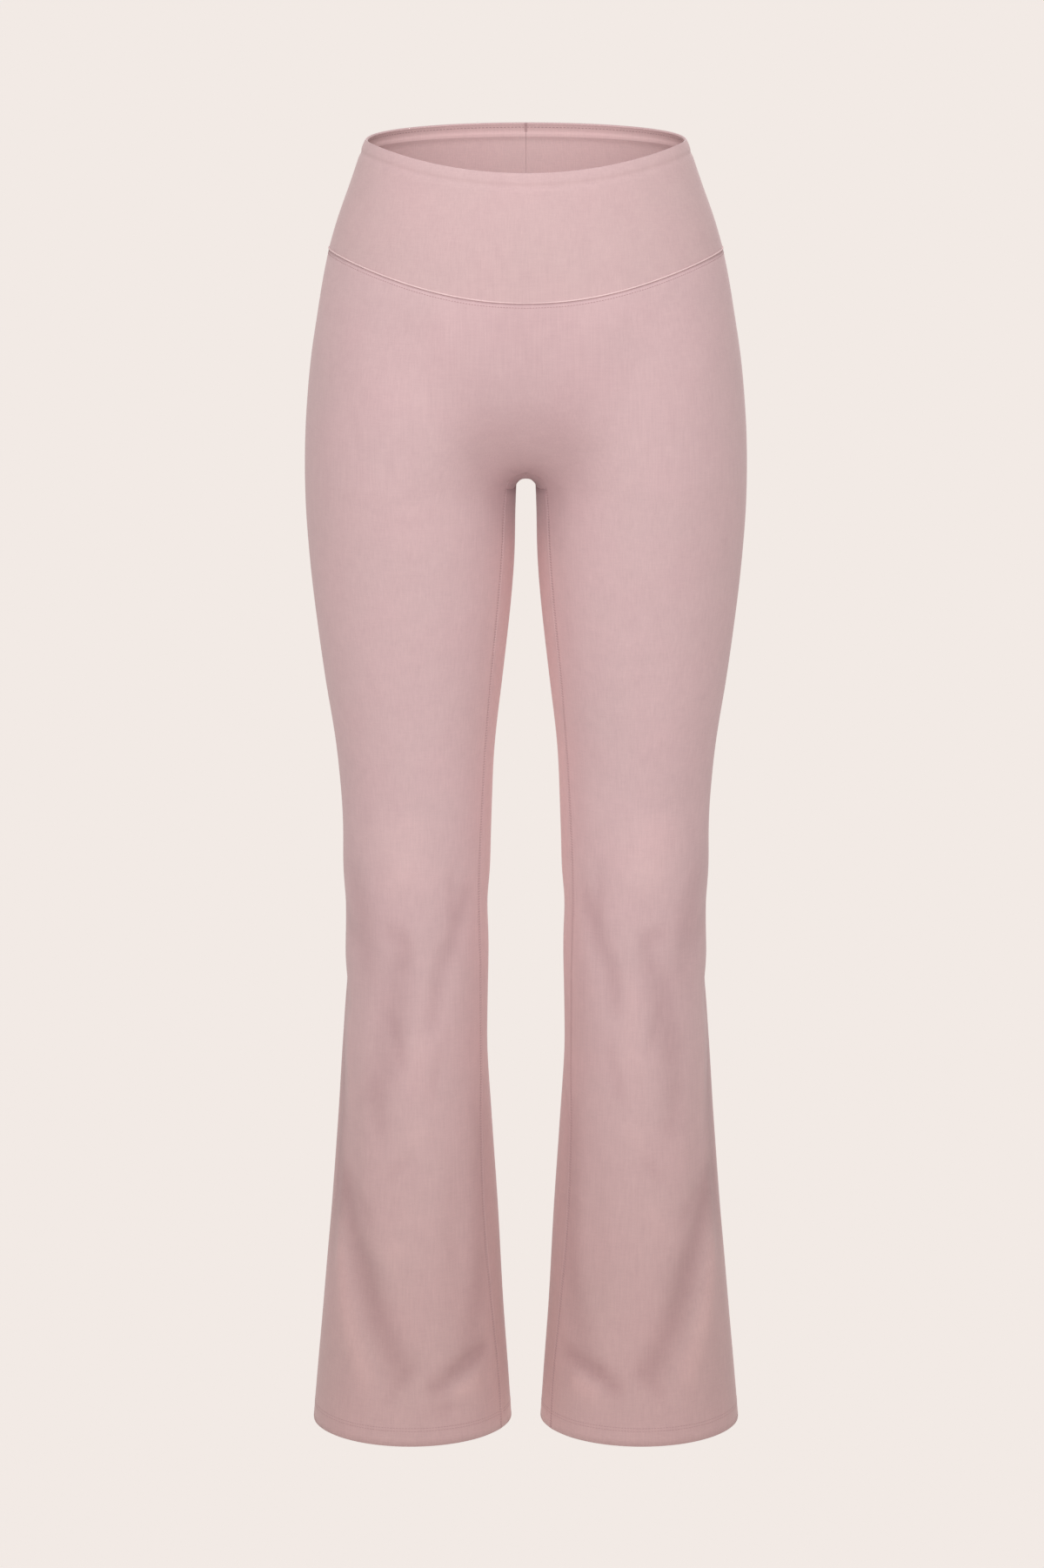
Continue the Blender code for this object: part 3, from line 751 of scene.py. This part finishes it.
def inward(vert):
    """The way from a piece's edge into its cloth."""
    edges = [edge for edge in vert.link_edges if edge.is_boundary]
    along = (edges[0].other_vert(vert).co - edges[1].other_vert(vert).co).normalized()
    middle = sum((face.calc_center_median() for face in vert.link_faces), Vector())
    way = middle / len(vert.link_faces) - vert.co
    return (way - along * way.dot(along)).normalized()


def places_along(node, line, inset, pitch, lift=0.0, turn=0.0):
    """Evenly spaced places on a piece's cloth, a set way in from its edge and out from its face."""
    surface = BVHTree.FromBMesh(cloths[node])
    places = []
    ahead = pitch / 2
    for start, end in zip(line, line[1:]):
        step = (end.co - start.co).length / MM
        while ahead < step:
            share = ahead / step
            way = inward(start).lerp(inward(end), share).normalized()
            point = start.co.lerp(end.co, share) + way * inset * MM
            found, normal, _, _ = surface.find_nearest(point)
            along = (end.co - start.co).normalized()
            along = (along - normal * along.dot(normal)).normalized()
            across = normal.cross(along)
            place = Matrix((along, across, normal)).transposed().to_4x4()
            place.translation = found + normal * lift * MM
            places.append(place @ Matrix.Rotation(radians(turn), 4, "Z"))
            ahead += pitch
        ahead -= step
    return places


def row_of(stitch, node, line, inset, lift=0.0):
    """A stitch and its places, a set way in from the edge of a piece."""
    return stitch, places_along(node, line, inset, stitch.pitch, lift, stitch.turn)


def stitch_shape(stitch):
    """One stitch: a stub of thread that bulges up out of the cloth."""
    shape = bmesh.new()
    halves = [size / 2 * MM for size in (stitch.length, stitch.width, stitch.height)]
    bmesh.ops.create_uvsphere(
        shape,
        u_segments=THREAD_SIDES,
        v_segments=THREAD_RINGS,
        radius=1.0,
        matrix=Matrix.Diagonal((*halves, 1.0)) @ Matrix.Rotation(pi / 2, 4, "Y"),
    )
    mesh = bpy.data.meshes.new("stitch")
    shape.to_mesh(mesh)
    shape.free()
    return mesh


def sew(name, rows, material):
    """One piece that holds every stitch of some rows: pairs of a stitch and its places."""
    sewing = bmesh.new()
    for stitch, places in rows:
        shape = stitch_shape(stitch)
        for place in places:
            copy = shape.copy()
            copy.transform(place)
            sewing.from_mesh(copy)
            bpy.data.meshes.remove(copy)
    mesh = bpy.data.meshes.new(name)
    sewing.to_mesh(mesh)
    sewing.free()
    place_object(name, mesh, material)


def thread_finish(name, colour):
    """Sewing thread: a fine twist, with painted shade in its grooves."""
    finish = Finish(name)
    place = finish.node("ShaderNodeTexCoord", output=3)
    twist = finish.noise(place, TWIST_SIZE, 1)
    # Painted shade in the twist's grooves.
    darker = (*[part * GROOVE_SHADE for part in colour[:3]], 1.0)
    relief = {"Strength": TWIST_STRENGTH, "Distance": TWIST_DEPTH * MM, "Height": twist}
    bump = finish.node("ShaderNodeBump", {}, relief)
    base = finish.blend(twist, darker, colour)
    finish.shade({"Base Color": base, "Roughness": 0.7, "Normal": bump})
    finish.shade({"Specular IOR Level": 0.3, "Sheen Weight": 0.2, "Sheen Roughness": 0.5})
    return finish.material


def make_yoke_roll(name, nodes_and_lines, material):
    """A fine roll of cloth along the yoke seam."""
    rolls = bpy.data.curves.new(name, "CURVE")
    rolls.dimensions = "3D"
    rolls.bevel_depth = YOKE_ROLL_RADIUS * MM
    rolls.bevel_resolution = 2
    rolls.use_fill_caps = True
    for node, line in nodes_and_lines:
        spline = rolls.splines.new("POLY")
        places = places_along(node, line, 0.0, YOKE_ROLL_STEP, YOKE_ROLL_LIFT)
        spline.points.add(len(places) - 1)
        for point, place in zip(spline.points, places):
            point.co = (*place.translation, 1.0)
    holder = bpy.data.objects.new(name, rolls)
    bpy.context.scene.collection.objects.link(holder)
    mesh = bpy.data.meshes.new_from_object(holder.evaluated_get(bpy.context.evaluated_depsgraph_get()))
    bpy.data.objects.remove(holder)
    place_object(name, mesh, material)


# Painted shade: the thread is painted darker than the cloth, for the shadows of its needle holes.
thread = thread_finish("thread", (0.490, 0.300, 0.315, 1.0))
# Painted highlight: the roll is painted paler than the jersey it lies on.
rolled_jersey_painted_highlight = jersey("rolled jersey", (0.800, 0.600, 0.610, 1.0), (0.720, 0.530, 0.540, 1.0))


def seam(node, other, keep=lambda point: True):
    """The line where one piece is sewn to another."""
    cloth = BVHTree.FromBMesh(cloths[other])

    def is_sewn(point):
        return cloth.find_nearest(point)[3] < SEAM_REACH * MM and keep(point)

    return edge_line(edge_verts(node, is_sewn))


def is_inner(point):
    """Whether a point lies on the inner side of its leg."""
    return abs(point.x) < LEG_CENTRE * MM


yoke_lines = [("front_panel", seam("front_panel", "waistband_front"))]
for side in ("left", "right"):
    node = "back_panel_" + side
    yoke_lines.append((node, seam(node, "waistband_back_" + side)))
make_yoke_roll("yoke_roll", yoke_lines, rolled_jersey_painted_highlight)
rows = [row_of(DASH, node, line, YOKE_ROW) for node, line in yoke_lines]
sew("yoke_stitching", rows, thread)

for side, sign in (("left", 1), ("right", -1)):
    back_node = "back_panel_" + side
    line = seam("front_panel", back_node, lambda point: is_inner(point) and point.x * sign > 0)
    rows = [
        row_of(RUNG, "front_panel", line, 0.0, RUNG_LIFT),
        row_of(NEEDLE, "front_panel", line, INSEAM_ROW),
        row_of(NEEDLE, back_node, seam(back_node, "front_panel", is_inner), INSEAM_ROW),
    ]
    sew("inseam_stitching_" + side, rows, thread)

    rows = []
    for node in ("front_panel", back_node):
        hem = edge_verts(node, lambda co: co.z < -(HEM_DROP - HEM_REACH) * MM and co.x * sign > 0)
        line = edge_line(hem)
        rows += [row_of(HEM_STITCH, node, line, inset) for inset in HEM_ROWS]
        rows.append(row_of(HEM_STITCH, node, line, HEM_INSIDE_ROW, -HEM_CLOTH))
    sew("hem_stitching_" + side, rows, thread)

rows = []
for node in ("front_panel", "back_panel_left", "back_panel_right"):
    rows.append(row_of(GUSSET_STITCH, node, seam(node, "gusset"), GUSSET_ROW))
sew("gusset_stitching", rows, thread)

seat_left = seam("back_panel_left", "back_panel_right")
seat_right = seam("back_panel_right", "back_panel_left")
rows = [
    row_of(RUNG, "back_panel_left", seat_left, 0.0, RUNG_LIFT),
    row_of(NEEDLE, "back_panel_left", seat_left, INSEAM_ROW),
    row_of(NEEDLE, "back_panel_right", seat_right, INSEAM_ROW),
]
sew("seat_stitching", rows, thread)

# Inside the top edge: a row of stitches through the elastic's fold, and bar tacks at the centre back.
rows = []
for cut in BAND_CUTS:
    top = {vert for edge in cloths[cut.node].edges if is_top(edge) for vert in edge.verts}
    rows.append(row_of(WAIST_STITCH, cut.node, edge_line(top), WAIST_ROW, -WAISTBAND_CLOTH))
centre = seam("waistband_back_left", "waistband_back_right")
_, tacks = row_of(TACK, "waistband_back_left", centre, 0.0, -WAISTBAND_CLOTH)
rows.append((TACK, [place for place in tacks if place.translation.z > TACKS_ABOVE * MM]))
sew("waist_stitching", rows, thread)

# The seam allowance shows as a low welt below the yoke seam. Each point of the cloth gets a value
# that grows as it nears the seam, for the material's welt bump and its painted shade along the seam.
for node, line in yoke_lines:
    points = []
    for start, end in zip(line, line[1:]):
        steps = max(round((end.co - start.co).length / MM), 1)
        points += [start.co.lerp(end.co, step / steps) for step in range(steps)]
    tree = KDTree(len(points))
    for index, point in enumerate(points):
        tree.insert(point, index)
    tree.balance()
    closeness = [max(SEAM_ZONE - tree.find(vert.co)[2] / MM, 0.0) for vert in cloths[node].verts]
    layer = pieces[node].data.attributes.new("near_seam", "FLOAT", "POINT")
    layer.data.foreach_set("value", closeness)
